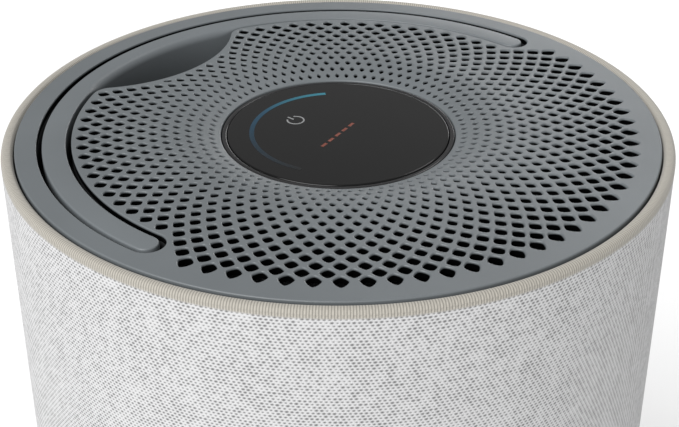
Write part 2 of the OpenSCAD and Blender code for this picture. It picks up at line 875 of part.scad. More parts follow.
module filter_media() {
  color([0.93, 0.93, 0.90]) translate([0, 0, filter_bottom + cap_thick])
    linear_extrude(filter_top - filter_bottom - 2 * cap_thick) difference() {
    polygon(zigzag(media_out, media_in));
    polygon(zigzag(media_out - paper_shift, media_in - paper_shift));
  }
}

module filter_carbon_core() {
  color([0.08, 0.08, 0.08]) ring(core_in, core_out, filter_bottom + cap_thick, filter_top - cap_thick);
}

module filter_cap_top() {
  color(dark_plastic) ring(core_in - 3, filter_radius, filter_top - cap_thick, filter_top);
}

module filter_cap_bottom() {
  color(dark_plastic) difference() {
    disc(filter_radius, filter_bottom, filter_bottom + cap_thick);
    translate([0, 0, filter_bottom - e]) linear_extrude(2.4) square([64, 20], center = true);
  }
}

module filter_seal() {
  color([0.2, 0.2, 0.2]) ring(98, 110, filter_top, deck_z);
}

module filter_pull_tab() {
  color([0.75, 0.75, 0.72]) translate([0, 0, filter_bottom + 0.2]) linear_extrude(1.2) square([60, 16],
    center = true);
}

// An arc block between two radii and two heights, centred on an angle
module arc_block(r_in, r_out, z0, z1, middle, sweep) {
  rotate([0, 0, middle - sweep / 2]) rotate_extrude(angle = sweep, $fn = 180) section(r_in, r_out, z0, z1);
}

module base_housing() {
  plate_top = foot_height + base_plate;
  stop_arc = 1.5;
  stop_gap = 0.3;
  color(dark_plastic) difference() {
    union() {
      rotate_extrude($fn = 180) {
        section(opening_radius, base_radius, foot_height, plate_top);
        section(base_radius - base_wall, base_radius, foot_height, shell_bottom);
        section(opening_radius, opening_radius + 3, foot_height, 20);
        section(base_radius - 1, shell_out, seat_z, shell_bottom);
        section(base_radius - base_wall, shell_in - 0.3, shell_bottom - e, spigot_top);
      }
      for (i = [0:lug_count - 1]) {
        middle = lug_first + i * 360 / lug_count;
        start = middle - lug_arc / 2 - stop_gap - stop_arc;
        ledge_end = middle + lug_arc / 2 + ledge_spare;
        arc_block(ledge_in, opening_radius + e, ledge_low, ledge_high, (start + ledge_end) / 2,
          ledge_end - start);
        arc_block(ledge_in, opening_radius + e, ledge_high, lug_high, start + stop_arc / 2, stop_arc);
        arc_block(ledge_in, opening_radius + e, ledge_low, lug_high,
          middle + lug_arc / 2 + twist_angle + stop_gap + stop_arc / 2, stop_arc);
      }
      around(4, 45) translate([foot_circle, 0, 0]) disc(5.5, foot_height, 14);
    }
    around(4, 45) translate([foot_circle, 0, 0]) disc(3, foot_height - e, 12);
    translate([-inlet_wide / 2 - 0.1, inlet_back, inlet_z - inlet_tall / 2 - 0.1])
      cube([inlet_wide + 0.2, 20, inlet_tall + 0.2]);
    around(6, side_screw_first) translate([0, 0, base_screw_z]) rotate([0, 90, 0])
      translate([0, 0, base_radius - 6]) cylinder(r = 1.95, h = 10, $fn = 32);
    rotate([0, 0, lug_first]) translate([opening_radius - 4, 0, 13.5]) rotate([0, 90, 0])
      cylinder(r = 1.7, h = 9, $fn = 32);
  }
}

module filter_cover() {
  disc_top = 8.4;
  well_radius = 46;
  boss_top = filter_bottom - 0.5;
  color(dark_plastic) difference() {
    union() {
      disc(opening_radius - 0.6, foot_height + 0.5, disc_top);
      ring(ring_radius_out - 4, ring_radius_out, foot_height + 2, 17);
      disc(well_radius + 2.5, foot_height + 2, boss_top);
      for (i = [0:lug_count - 1])
        arc_block(ring_radius_out - 1, opening_radius - 0.6, lug_low, lug_high,
          lug_first + i * 360 / lug_count, lug_arc);
    }
    difference() {
      disc(well_radius, foot_height - e, boss_top - 2.5);
      translate([-well_radius - e, -7, foot_height - e]) cube([2 * well_radius + 2, 14, 25]);
    }
  }
}

module power_inlet() {
  socket_depth = 12;
  color([0.06, 0.06, 0.06]) difference() {
    translate([-inlet_wide / 2, inlet_back, inlet_z - inlet_tall / 2]) cube([inlet_wide,
      inlet_front - inlet_back, inlet_tall]);
    translate([0, inlet_front + e, inlet_z]) rotate([90, 0, 0]) linear_extrude(socket_depth + e) {
      for (x = [-pin_spacing, pin_spacing]) translate([x, 0]) circle(4.4, $fn = 48);
      square([2 * pin_spacing, 7], center = true);
    }
    for (x = [-pin_spacing, pin_spacing]) translate([x, inlet_front, inlet_z]) rotate([90, 0, 0])
      cylinder(r = 1.2, h = inlet_front - inlet_back - 2, $fn = 32);
  }
}

module inlet_pins() {
  color(steel_grey) for (x = [-pin_spacing, pin_spacing]) translate([x, inlet_front - 3, inlet_z])
    rotate([90, 0, 0])
    cylinder(r = 1.2, h = inlet_front - inlet_back - 5, $fn = 32);
}

module door_switch() {
  color([0.15, 0.15, 0.17]) rotate([0, 0, lug_first]) {
    translate([opening_radius + 3.4, -6, foot_height + base_plate]) cube([8, 12, 11]);
    translate([opening_radius - 0.1, 0, 13.5]) rotate([0, 90, 0]) cylinder(r = 1.5, h = 5, $fn = 32);
  }
}

module rubber_feet() {
  color([0.09, 0.09, 0.09]) around(4, 45) translate([foot_circle, 0, 0]) {
    disc(foot_radius, 0, foot_height);
    disc(2.95, foot_height, 11);
  }
}

top_cover();
top_cover_screws();
handle();
handle_pivot_pins();
handle_tray();
display_lens();
display_bezel();
light_guide();
display_leds();
display_board();
display_cup();
display_screws();
outer_shell();
fabric_sleeve();
shell_screws();
fan_duct();
duct_seal();
motor_spider();
spider_screws();
motor_can();
motor_end_bell();
motor_stator();
motor_windings();
motor_rotor();
motor_shaft();
motor_bearings();
motor_grommets();
motor_screws();
fan_impeller();
impeller_nut();
inlet_bell();
inlet_guard();
filter_deck();
deck_screws();
main_board();
board_components();
board_screws();
wire_harness();
air_sensor();
filter_media();
filter_carbon_core();
filter_cap_top();
filter_cap_bottom();
filter_seal();
filter_pull_tab();
base_housing();
filter_cover();
power_inlet();
inlet_pins();
door_switch();
rubber_feet();
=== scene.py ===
"""Looks of the air purifier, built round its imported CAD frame. All lengths in metres."""
import json
import math

import bmesh
import bpy
import numpy as np
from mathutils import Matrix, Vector, geometry


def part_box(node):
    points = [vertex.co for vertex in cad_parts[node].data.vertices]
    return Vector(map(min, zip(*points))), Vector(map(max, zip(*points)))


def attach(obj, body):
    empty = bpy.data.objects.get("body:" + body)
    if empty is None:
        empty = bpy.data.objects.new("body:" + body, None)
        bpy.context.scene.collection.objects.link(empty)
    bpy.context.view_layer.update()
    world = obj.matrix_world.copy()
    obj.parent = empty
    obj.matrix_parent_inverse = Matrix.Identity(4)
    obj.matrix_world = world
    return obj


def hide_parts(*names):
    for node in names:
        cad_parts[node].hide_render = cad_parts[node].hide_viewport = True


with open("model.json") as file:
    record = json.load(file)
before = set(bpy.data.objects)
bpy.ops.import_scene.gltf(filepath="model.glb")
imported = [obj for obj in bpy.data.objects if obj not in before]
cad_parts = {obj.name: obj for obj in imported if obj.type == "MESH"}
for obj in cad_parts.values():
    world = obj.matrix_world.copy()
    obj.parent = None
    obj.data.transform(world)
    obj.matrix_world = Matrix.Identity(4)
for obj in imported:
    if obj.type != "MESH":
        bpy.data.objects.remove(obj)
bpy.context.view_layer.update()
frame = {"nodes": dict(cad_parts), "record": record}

MM = 0.001

# ---------------------------------------------------------------- sizes, from the frame
COVER_LOW, COVER_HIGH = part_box("top_cover")
R = COVER_HIGH.x
TOP = COVER_HIGH.z
PLATE = 3.5 * MM
SKIRT_LOW = COVER_LOW.z
SKIRT_WALL = 3 * MM
COLLAR_WALL = 2.6 * MM
COLLAR_IN = 55.4 * MM
COLLAR_LOW = TOP - 14 * MM
WIDE_SPACING = 2 * MM
FINE_SPACING = 0.8 * MM

# Handle, its groove and the finger scoop
HANDLE_MID = 0.8815 * R
HALF_BAR = 5.5 * MM
SLOT_HALF = HALF_BAR + 2.4 * MM
BAR_END_Y = -0.0575 * R
OVERRUN = math.degrees(math.asin(-BAR_END_Y / HANDLE_MID))
GROOVE_OVERRUN = OVERRUN + 0.35
HANDLE_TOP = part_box("handle")[1].z
GRIP_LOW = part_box("handle")[0].z
BAR_LOW = HANDLE_TOP - 14 * MM
BAR_STEPS = 150
CAP_STEPS = 9
BAR_ROUND = 0.9 * MM
GRIP_ROUND = 3.4 * MM
GRIP_END = 26
GRIP_BLEND = 7
SCOOP_RADIUS = 0.459 * R
SCOOP_CENTRE = 1.099 * R
SHOULDER = 9 * MM

# Air holes, and the shallow dish that they lead down to round the display
HOLES_PER_RING = 80
PITCH = 360 / HOLES_PER_RING
FULL_RINGS = 12
LAST_RING = 15
RING_FIRST = 0.3975 * R
RING_STEP = 0.0361 * R
FRONT = 270
FRONT_REACH = 76.6
HOLE_POINTS = 16
HOLE_WIDE_MM, HOLE_WIDER_MM = 2.1, 0.315
HOLE_LONG_MM, HOLE_LONGER_MM = 3.1, 0.27
DIAMOND_POWER = 2 / 1.45
LAST_RING_STRETCH = 1.35
SCOOP_BORDER = 2.6 * MM
LEAST_HOLE_SHARE = 0.55
DISH_EDGE = RING_FIRST + 4 * RING_STEP + 2.65 * MM
DISH_DEPTH = 4.5 * MM

# Display
LENS_LOW, LENS_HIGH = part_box("display_lens")
LENS_R = LENS_HIGH.x
LENS_TOP = LENS_HIGH.z
MARK_TOP = LENS_TOP + 0.05 * MM
MARK_LOW = LENS_TOP + 0.01 * MM
ARC_START = 49
ARC_END = 196
ARC_IN, ARC_OUT = 0.2655 * R, 0.2805 * R
POWER_PLACE = (-0.030 * R, 0.153 * R)
POWER_START, POWER_END = 122, 418
DASH_COUNT = 5
DASHES_FROM, DASHES_TO = np.array([-0.12, -0.03]) * R, np.array([0.08, 0.0]) * R

# Sleeve
SLEEVE_LOW, SLEEVE_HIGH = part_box("fabric_sleeve")
SLEEVE_WALL = 2.0 * MM
SLEEVE_ROLL = 2.8 * MM
SLEEVE_HEM = 2.2 * MM
SLEEVE_FOOT = 149.9 * MM


# ---------------------------------------------------------------- mesh helpers
def new_object(name, points, faces, material, body, normals=None):
    """A smooth mesh object that rides on a body."""
    mesh = bpy.data.meshes.new(name)
    mesh.from_pydata([tuple(p) for p in points], [], [tuple(f) for f in faces])
    mesh.materials.append(material)
    mesh.validate()
    mesh.shade_smooth()
    if normals is not None:
        mesh.normals_split_custom_set_from_vertices([tuple(n) for n in normals])
    obj = bpy.data.objects.new(name, mesh)
    bpy.context.scene.collection.objects.link(obj)
    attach(obj, body)
    return obj


def sharpen(obj, degrees):
    """Keeps edges sharp where faces meet at more than an angle."""
    obj.data.set_sharp_from_angle(angle=math.radians(degrees))
    return obj


def lathe(name, profile, material, body, segments=192, sharp=32):
    """Turns a closed outline of (radius, height) points about the Z axis."""
    count = len(profile)
    turn = np.linspace(0, 2 * math.pi, segments, endpoint=False)
    points = [(r * math.cos(a), r * math.sin(a), z) for a in turn for r, z in profile]
    faces = []
    for i in range(segments):
        here, there = i * count, (i + 1) % segments * count
        for j in range(count):
            k = (j + 1) % count
            faces.append((here + j, there + j, there + k, here + k))
    obj = new_object(name, points, faces, material, body)
    weld(obj)
    return sharpen(obj, sharp)


def weld(obj, distance=1e-6):
    """Joins points that coincide and turns all faces outwards."""
    work = bmesh.new()
    work.from_mesh(obj.data)
    bmesh.ops.remove_doubles(work, verts=work.verts, dist=distance)
    bmesh.ops.recalc_face_normals(work, faces=work.faces)
    work.to_mesh(obj.data)
    work.free()


def corner(centre_r, centre_z, radius, start, end, steps=6):
    """Points of a rounded corner in a lathe's outline, by angle in degrees."""
    angles = np.radians(np.linspace(start, end, steps + 1))
    return [(centre_r + radius * math.cos(a), centre_z + radius * math.sin(a)) for a in angles]


# ---------------------------------------------------------------- outlines in plan
class Loop:
    """A closed outline in plan, with the direction of the material at each point, the
    steps of its soft lip (way in, drop, tilt in degrees), and for the cover's rim and
    collar the wall's lower end and thickness."""

    def __init__(self, points, into, lip, low=None, wall=0.0):
        self.points = np.array(points)
        self.into = np.array(into)
        self.lip = lip
        self.low = low
        self.wall = wall


def arc(centre, radius, start, end, spacing=WIDE_SPACING, sign=1):
    """Points and material directions along an arc, by angle in degrees, without its end."""
    steps = max(int(abs(math.radians(end - start)) * radius / spacing), 4)
    angles = np.radians(np.linspace(start, end, steps, endpoint=False))
    away = np.stack([np.cos(angles), np.sin(angles)], 1)
    return np.array(centre) + radius * away, sign * away


def opening_loop(lip):
    """The handle's groove and the finger scoop as one outline, run anticlockwise."""
    wall_in, wall_out = HANDLE_MID - SLOT_HALF, HANDLE_MID + SLOT_HALF
    ends = GROOVE_OVERRUN
    near, far = wall_in - SHOULDER, SCOOP_RADIUS + SHOULDER
    cy = (near ** 2 - far ** 2 + SCOOP_CENTRE ** 2) / (2 * SCOOP_CENTRE)
    cx = math.sqrt(near ** 2 - cy ** 2)
    bearing = math.degrees(math.atan2(cy, cx))
    slope = math.degrees(math.atan2(SCOOP_CENTRE - cy, cx))
    tip = [HANDLE_MID * math.cos(math.radians(ends)),
           -HANDLE_MID * math.sin(math.radians(ends))]
    scoop = (0, SCOOP_CENTRE)
    runs = [
        arc((0, 0), wall_out, -ends, 180 + ends),
        arc((-tip[0], tip[1]), SLOT_HALF, 180 + ends, 360 + ends, FINE_SPACING),
        arc((0, 0), wall_in, 180 + ends, 180 - bearing, sign=-1),
        arc((-cx, cy), SHOULDER, 180 - bearing, slope, FINE_SPACING, sign=-1),
        arc(scoop, SCOOP_RADIUS, 180 + slope, 360 - slope),
        arc((cx, cy), SHOULDER, 180 - slope, bearing, FINE_SPACING, sign=-1),
        arc((0, 0), wall_in, bearing, -ends, sign=-1),
        arc(tip, SLOT_HALF, 180 - ends, 360 - ends, FINE_SPACING),
    ]
    return Loop(np.concatenate([p for p, _ in runs]), np.concatenate([n for _, n in runs]), lip)


def signed_power(value, power):
    """A power of the size that keeps the sign."""
    return np.sign(value) * np.abs(value) ** power


def clear_of_scoop(place, half_long):
    """The outline of a hole pushed back to the scoop's border, or None when too little
    of the hole would be left."""
    offset = place - np.array([0, SCOOP_CENTRE])
    distance = np.linalg.norm(offset, axis=1)
    border = SCOOP_RADIUS + SCOOP_BORDER
    if distance.min() < border - LEAST_HOLE_SHARE * 2 * half_long:
        return None
    pushed = [0, SCOOP_CENTRE] + offset * (border / distance)[:, None]
    return np.where((distance < border)[:, None], pushed, place)


def hole_loop(k, angle):
    """A rounded diamond air hole of ring k at an angle, or None where there is none."""
    r = RING_FIRST + RING_STEP * (k - 1)
    reach = FRONT_REACH + (LAST_RING - k) * PITCH / 2
    if k > FULL_RINGS and abs(angle - FRONT) >= reach:
        return None
    half_wide = (HOLE_WIDE_MM + HOLE_WIDER_MM * (k - 1)) * MM / 2
    half_long = (HOLE_LONG_MM + HOLE_LONGER_MM * (k - 1)) * MM / 2
    power = DIAMOND_POWER
    t = np.radians(np.arange(HOLE_POINTS) * 360 / HOLE_POINTS)
    c, s = np.cos(t), np.sin(t)
    out = half_long * signed_power(c, power)
    side = half_wide * signed_power(s, power)
    if k == LAST_RING:
        out = np.where(out > 0, out * LAST_RING_STRETCH, out)
    normal = np.stack([signed_power(c, 2 - power) / half_long,
                       signed_power(s, 2 - power) / half_wide], 1)
    normal /= np.linalg.norm(normal, axis=1)[:, None]
    a = math.radians(angle)
    axes = np.array([[math.cos(a), math.sin(a)], [-math.sin(a), math.cos(a)]])
    place = np.array([r * math.cos(a), r * math.sin(a)]) + np.stack([out, side], 1) @ axes
    place = clear_of_scoop(place, half_long)
    if place is None:
        return None
    soft = min(0.78 * MM, 0.36 * MM + 0.035 * MM * k)
    return Loop(place, normal @ axes, fillet(soft, 4))


def fillet(radius, steps):
    """Lip steps: how far into the material, how far down, and the tilt in degrees."""
    tilts = np.linspace(0, 90, steps + 1)
    return [(radius * (1 - math.sin(math.radians(t))),
             radius * (1 - math.cos(math.radians(t))), t) for t in tilts]


def circle_loop(radius, lip, sign, low, wall, spacing=WIDE_SPACING):
    """A round outline with a wall below it; the sign is 1 where the material is outside."""
    points, into = arc((0, 0), radius, 0, 360, spacing, sign)
    return Loop(points, into, lip, low, wall)


def surface_height(radius):
    """Height and slope of the cover's top at a radius."""
    run = DISH_EDGE - COLLAR_IN
    short = np.clip((DISH_EDGE - radius) / run, 0, None)
    return TOP - DISH_DEPTH * short ** 2, 2 * DISH_DEPTH * short / run


def inside(polygon, points):
    """Which points lie inside a closed polygon."""
    x, y = points[:, 0], points[:, 1]
    odd = np.zeros(len(points), bool)
    for (x0, y0), (x1, y1) in zip(polygon, np.roll(polygon, -1, axis=0)):
        if y0 != y1:
            odd ^= ((y0 > y) != (y1 > y)) & (x < (x1 - x0) * (y - y0) / (y1 - y0) + x0)
    return odd


def lip_and_wall(loop):
    """The rings of points of one outline, from the top surface down to the underside,
    with their normals."""
    count = len(loop.points)
    top_plan = loop.points + loop.into * loop.lip[0][0]
    radius = np.linalg.norm(top_plan, axis=1)
    height, slope = surface_height(radius)
    lean = np.column_stack([-top_plan * (slope / radius)[:, None], np.ones(count)])
    into = np.column_stack([loop.into, np.zeros(count)])
    rings = []
    for inward, drop, tilt in loop.lip:
        t = math.radians(tilt)
        rings.append((inward, height - drop, lean * math.cos(t) - into * math.sin(t)))
    if loop.low is not None:
        rings.append((0, np.full(count, loop.low), -into))
        rings.append((loop.wall, np.full(count, loop.low), into))
    rings.append((loop.wall, height - PLATE, into if loop.wall else -into))
    points = [np.column_stack([loop.points + loop.into * inward, z]) for inward, z, _ in rings]
    normals = [n / np.linalg.norm(n, axis=1)[:, None] for _, _, n in rings]
    return points, normals


def web_triangles(loops, plan, owners):
    """Triangles of the plate between all the outlines; none inside an opening."""
    edges, start = [], 0
    for loop in loops:
        count = len(loop.points)
        edges += [(start + i, start + (i + 1) % count) for i in range(count)]
        start += count
    result = geometry.delaunay_2d_cdt([Vector(p) for p in plan], edges, [], 0, 1e-9)
    source = np.array([origin[0] for origin in result[3]])
    triangles = source[np.array(result[2])]
    own = owners[triangles]
    same = (own[:, 0] == own[:, 1]) & (own[:, 1] == own[:, 2])
    middles = plan[triangles].mean(axis=1)
    keep = ~same
    for number, loop in enumerate(loops):
        ours = np.where(same & (own[:, 0] == number))[0]
        if len(ours):
            within = inside(plan[owners == number], middles[ours])
            keep[ours] = within if number == 0 else ~within
    flat = triangles[keep]
    corners = plan[flat]
    one, two = corners[:, 1] - corners[:, 0], corners[:, 2] - corners[:, 0]
    turned = one[:, 0] * two[:, 1] - one[:, 1] * two[:, 0] > 0
    return np.where(turned[:, None], flat, flat[:, ::-1])


def perforated_plate(loops):
    """A plate from its outlines, the rim first: a soft lip and a wall round each, and
    the web between them above and below. Also gives each point's depth, 0 to 1."""
    points, normals, faces, depths = [], [], [], []
    tops, lows, owners, start = [], [], [], 0
    for number, loop in enumerate(loops):
        rings, ring_normals = lip_and_wall(loop)
        count = len(loop.points)
        for level in range(len(rings) - 1):
            a = start + level * count
            for i in range(count):
                j = (i + 1) % count
                face = (a + i, a + j, a + count + j, a + count + i)
                faces.append(face[::-1] if number == 0 else face)
        points += rings
        normals += ring_normals
        depths += [np.clip((rings[0][:, 2] - ring[:, 2]) / PLATE, 0, 1) for ring in rings]
        tops.append(start + np.arange(count))
        lows.append(start + (len(rings) - 1) * count + np.arange(count))
        owners.append(np.full(count, number))
        start += len(rings) * count
    points, normals = np.concatenate(points), np.concatenate(normals)
    tops, lows, owners = np.concatenate(tops), np.concatenate(lows), np.concatenate(owners)
    flat = web_triangles(loops, points[tops][:, :2], owners)
    faces += [tuple(t) for t in tops[flat]]
    faces += [tuple(t) for t in (start + flat)[:, ::-1]]
    below = points[lows]
    points = np.concatenate([points, below])
    normals = np.concatenate([normals, np.tile([0.0, 0.0, -1.0], (len(below), 1))])
    return points, normals, faces, np.concatenate(depths + [np.ones(len(below))])


def mark_depth(obj, depths):
    """Stores how far below the surface each point lies, for the painted shade down the walls of the
    openings.
    """
    layer = obj.data.attributes.new("depth", "FLOAT", "POINT")
    layer.data.foreach_set("value", np.array(depths, np.float32))


def build_cover(material):
    """The top cover: rim and skirt, groove and scoop, collar, and the rings of air holes."""
    loops = [
        circle_loop(R, fillet(0.7 * MM, 5), -1, SKIRT_LOW, SKIRT_WALL),
        opening_loop(fillet(0.6 * MM, 5)),
        circle_loop(COLLAR_IN, fillet(0.7 * MM, 4), 1, COLLAR_LOW, COLLAR_WALL, 1.2 * MM),
    ]
    for k in range(1, LAST_RING + 1):
        first = PITCH / 2 if k % 2 == 0 else 0
        holes = [hole_loop(k, first + i * PITCH) for i in range(HOLES_PER_RING)]
        loops += [hole for hole in holes if hole]
    points, normals, faces, depths = perforated_plate(loops)
    obj = new_object("perforated_cover", points, faces, material, "body", normals)
    mark_depth(obj, depths)
    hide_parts("top_cover")
    return obj


# ---------------------------------------------------------------- handle
def smoothstep(x):
    """An even rise from 0 to 1 with flat ends."""
    x = np.clip(x, 0, 1)
    return x * x * (3 - 2 * x)


def handle_section(grip):
    """The bar's outline at one place: (across, height), with 0..1 of the grip's depth."""
    low = BAR_LOW + (GRIP_LOW - BAR_LOW) * grip
    inner = BAR_ROUND + GRIP_ROUND * grip
    outline = corner(HALF_BAR - BAR_ROUND, HANDLE_TOP - BAR_ROUND, BAR_ROUND, 0, 90, 5)
    outline += corner(-HALF_BAR + inner, HANDLE_TOP - inner, inner, 90, 180, 7)
    outline += corner(-HALF_BAR + BAR_ROUND, low + BAR_ROUND, BAR_ROUND, 180, 270, 3)
    outline += corner(HALF_BAR - BAR_ROUND, low + BAR_ROUND, BAR_ROUND, 270, 360, 3)
    return np.array(outline)


def handle_stations():
    """Places along the bar: (angle from the grip's middle, turn round the end cap)."""
    half_turn = 90 + OVERRUN
    stations = [(-half_turn, t) for t in np.linspace(-90, 0, CAP_STEPS)[:-1]]
    stations += [(a, 0) for a in np.linspace(-half_turn, half_turn, BAR_STEPS)]
    return stations + [(half_turn, t) for t in np.linspace(0, 90, CAP_STEPS)[1:]]


def bar_ring(swing, cap):
    """The bar's outline placed at one station."""
    section = handle_section(float(smoothstep((GRIP_END - abs(swing)) / GRIP_BLEND)))
    a, c = math.radians(90 - swing), math.radians(abs(cap))
    along = np.array([math.sin(a), -math.cos(a)]) * (1 if swing > 0 else -1)
    out = np.array([math.cos(a), math.sin(a)])
    across = section[:, 0] * math.cos(c)
    forward = np.abs(section[:, 0]) * math.sin(c)
    plan = out * (HANDLE_MID + across)[:, None] + along * forward[:, None]
    return np.column_stack([plan, section[:, 1]])


def build_handle(material):
    """The bail handle: a rounded bar swept along its arc, deeper at the grip, with round
    ends."""
    points = [bar_ring(swing, cap) for swing, cap in handle_stations()]
    faces = []
    count = len(points[0])
    for i in range(len(points) - 1):
        here, there = i * count, (i + 1) * count
        for j in range(count):
            k = (j + 1) % count
            faces.append((here + j, here + k, there + k, there + j))
    obj = new_object("handle_bar", np.concatenate(points), faces, material, "handle")
    weld(obj, 2e-5)
    sharpen(obj, 40)
    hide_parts("handle")
    return obj


# ---------------------------------------------------------------- fabric sleeve
def build_sleeve(material):
    """The stretched knit sleeve, rolled over the shell's top edge and tucked under its
    foot."""
    outer = SLEEVE_HIGH.x
    inner = outer - SLEEVE_WALL
    roll_z = TOP - 0.1 * MM - SLEEVE_ROLL
    low = SLEEVE_LOW.z
    profile = corner(outer - SLEEVE_ROLL, roll_z, SLEEVE_ROLL, 0, 200, 16)
    profile += [(profile[-1][0] + 0.5 * MM, roll_z - 1.6 * MM), (inner, roll_z - 3.2 * MM)]
    profile += [(inner, low + 6 * MM)]
    profile += [(SLEEVE_FOOT + 1.1 * MM, low + 2.4 * MM), (SLEEVE_FOOT + 0.3 * MM, low + 0.8 * MM)]
    profile += corner(outer - SLEEVE_HEM, low + SLEEVE_HEM, SLEEVE_HEM, 250, 360, 8)
    profile += [(outer, z) for z in np.linspace(low + SLEEVE_HEM, roll_z, 24)[1:-1]]
    obj = lathe("knit_sleeve", profile, material, "body", 256, 60)
    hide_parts("fabric_sleeve")
    return obj


# ---------------------------------------------------------------- display
def build_lens(material):
    """The black glass over the display, with a rounded edge."""
    edge = 0.7 * MM
    axis = 0.2 * MM
    profile = [(r, LENS_TOP) for r in np.linspace(axis, LENS_R - 0.9 * MM, 24)]
    profile += corner(LENS_R - edge, LENS_TOP - edge, edge, 90, 0, 6)
    profile += [(LENS_R, LENS_LOW.z), (axis, LENS_LOW.z)]
    obj = lathe("display_glass", profile[::-1], material, "body", 160, 60)
    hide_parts("display_lens")
    return obj


def build_bezel(material):
    """The glossy ring round the glass, with a rounded crown."""
    low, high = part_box("display_bezel")
    inner, outer = LENS_R + 0.15 * MM, high.x
    crown = (outer - inner) / 2
    profile = corner(inner + crown, high.z - crown * 0.8, crown, 0, 180, 12)
    profile = [(r, min(z, high.z)) for r, z in profile]
    profile += [(inner, low.z), (outer, low.z)]
    obj = lathe("glossy_bezel", profile, material, "body", 192, 50)
    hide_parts("display_bezel")
    return obj


def ring_outline(centre, r_in, r_out, start, end, steps=48):
    """The outline of a curved stroke in plan, out along its outside and back inside."""
    angles = np.radians(np.linspace(start, end, steps))
    outer = [(centre[0] + r_out * math.cos(a), centre[1] + r_out * math.sin(a)) for a in angles]
    inner = [(centre[0] + r_in * math.cos(a), centre[1] + r_in * math.sin(a)) for a in angles[::-1]]
    return outer + inner


def bar_outline(start, end, width):
    """The outline of a straight stroke in plan."""
    a, b = np.array(start), np.array(end)
    along = (b - a) / np.linalg.norm(b - a)
    side = np.array([-along[1], along[0]]) * width / 2
    return [tuple(a - side), tuple(b - side), tuple(b + side), tuple(a + side)]


def thin_mark(name, outline, top_faces, material):
    """A thin printed or lit mark on the glass, from its outline and the faces of its top."""
    count = len(outline)
    points = [(x, y, z) for z in (MARK_TOP, MARK_LOW) for x, y in outline]
    faces = top_faces + [tuple(i + count for i in face[::-1]) for face in top_faces]
    faces += [(i, i + count, (i + 1) % count + count, (i + 1) % count) for i in range(count)]
    obj = new_object(name, points, faces, material, "body")
    sharpen(obj, 30)
    return obj


def flat_patch(name, outline, material):
    """A mark whose top is one face."""
    return thin_mark(name, outline, [tuple(range(len(outline)))], material)


def strip_patch(name, centre, r_in, r_out, start, end, material, steps=48):
    """A curved mark, built from short quads so that it stays flat."""
    outline = ring_outline(centre, r_in, r_out, start, end, steps)
    quads = [(i, i + 1, 2 * steps - 2 - i, 2 * steps - 1 - i) for i in range(steps - 1)]
    return thin_mark(name, outline, quads, material)


def build_power_symbol(material):
    """The generic power symbol: a broken ring and its stem."""
    x, y = POWER_PLACE
    strip_patch("power_symbol_ring", POWER_PLACE, 0.0240 * R, 0.0290 * R,
                POWER_START, POWER_END, material)
    stem = bar_outline((x, y + 0.008 * R), (x, y + 0.034 * R), 0.0050 * R)
    flat_patch("power_symbol_bar", stem, material)


def build_dashes(material):
    """A row of plain dashes across the middle of the display."""
    row = DASHES_TO - DASHES_FROM
    along = row / np.linalg.norm(row) * 0.013 * R
    for i in range(DASH_COUNT):
        middle = DASHES_FROM + row * (i + 0.5) / DASH_COUNT
        outline = bar_outline(middle - along, middle + along, 0.010 * R)
        flat_patch(f"level_dash_{i + 1}", outline, material)


def build_marks(lit, white, amber):
    """Everything that shows on the display's glass."""
    strip_patch("status_arc", (0, 0), ARC_IN, ARC_OUT, ARC_START, ARC_END, lit, 96)
    build_power_symbol(white)
    build_dashes(amber)


# ---------------------------------------------------------------- materials
COVER_COLOUR = (0.122, 0.135, 0.143)
# Painted shade down the walls of the cover's air holes: the colour is multiplied by a little over
# one at the top and by near black lower down, fading between two depths.
HOLE_UNSHADED, HOLE_PAINTED_SHADE = (1.15, 1.15, 1.15), (0.01, 0.01, 0.01)
HOLE_SHADE_FROM, HOLE_SHADE_TO = 0.20, 0.34
WEAVE_COUNT = 467
WEAVE_PITCH = 1.45 * MM
WEAVE_LEAN = 82
FABRIC_LIGHT = (0.60, 0.60, 0.605)
RIB_COUNT = 820
HEM_COLOUR = (0.44, 0.415, 0.365)
HEM_FADE_FROM, HEM_FADE_TO = SLEEVE_HIGH.z - 2.6 * MM, SLEEVE_HIGH.z - 1.6 * MM
ARC_COLOUR = (0.003, 0.048, 0.092)
ARC_BRIGHT = (0.022, 0.190, 0.255)
ARC_OFF = (0, 0, 0)
MIX_SHARE, MIX_FIRST, MIX_SECOND, MIX_RESULT = 0, 6, 7, 2


